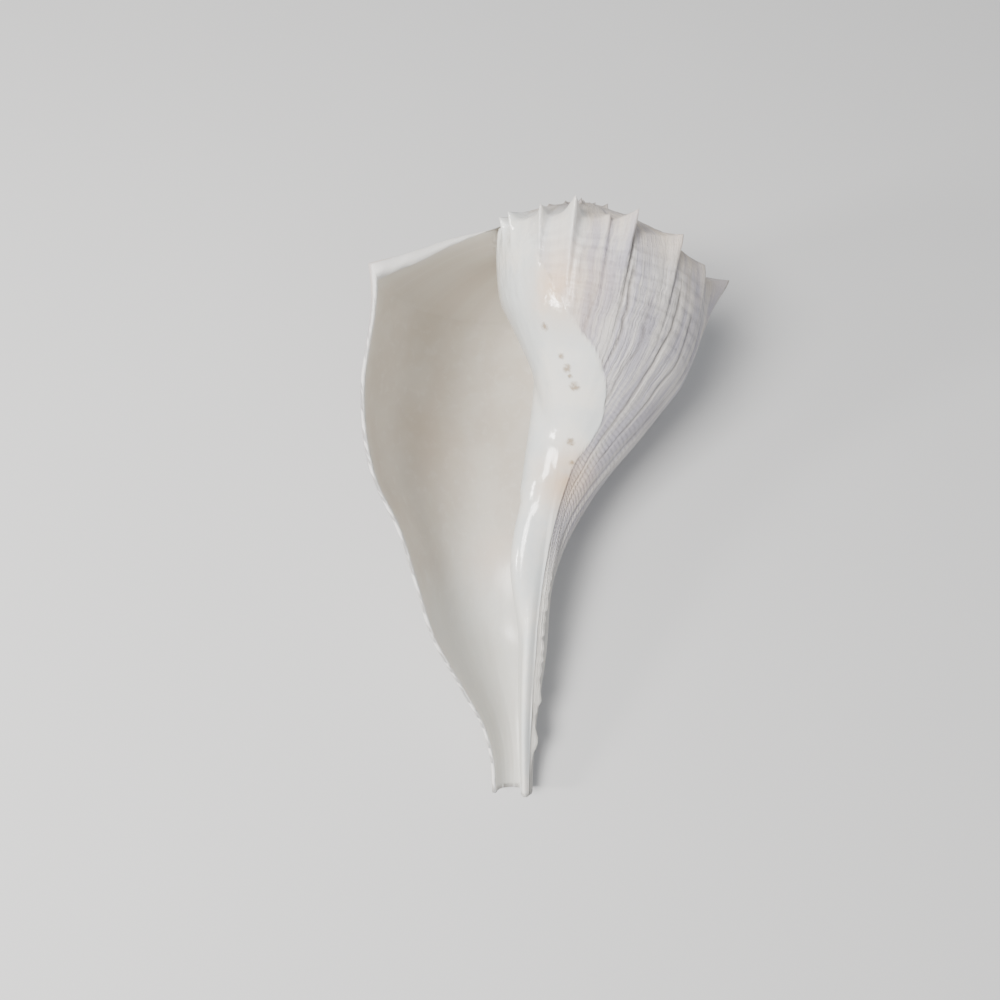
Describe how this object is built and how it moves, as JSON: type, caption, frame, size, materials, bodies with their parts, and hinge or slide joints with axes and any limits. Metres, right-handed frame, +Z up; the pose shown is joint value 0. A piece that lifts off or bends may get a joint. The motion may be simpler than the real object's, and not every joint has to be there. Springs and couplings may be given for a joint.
{
  "type": "lightning whelk shell",
  "caption": "Large left-handed whelk seashell with a spined shoulder, a low spire, a wide open aperture and a long tapering siphonal canal, lying on its back.",
  "frame": {"origin": "centre of the bounding box in plan, at the level of the surface that the shell lies on", "axes": "+Z up with the aperture facing up, +Y towards the spire, -Y towards the canal tip, -X towards the outer lip"},
  "size_m": [0.1192, 0.1866, 0.1002],
  "materials": {
    "shell": "chalky matt outside, satin inside, porcelain gloss beside the aperture"
  },
  "bodies": {
    "root": {"whelk_shell": "shell"}
  },
  "joints": []
}
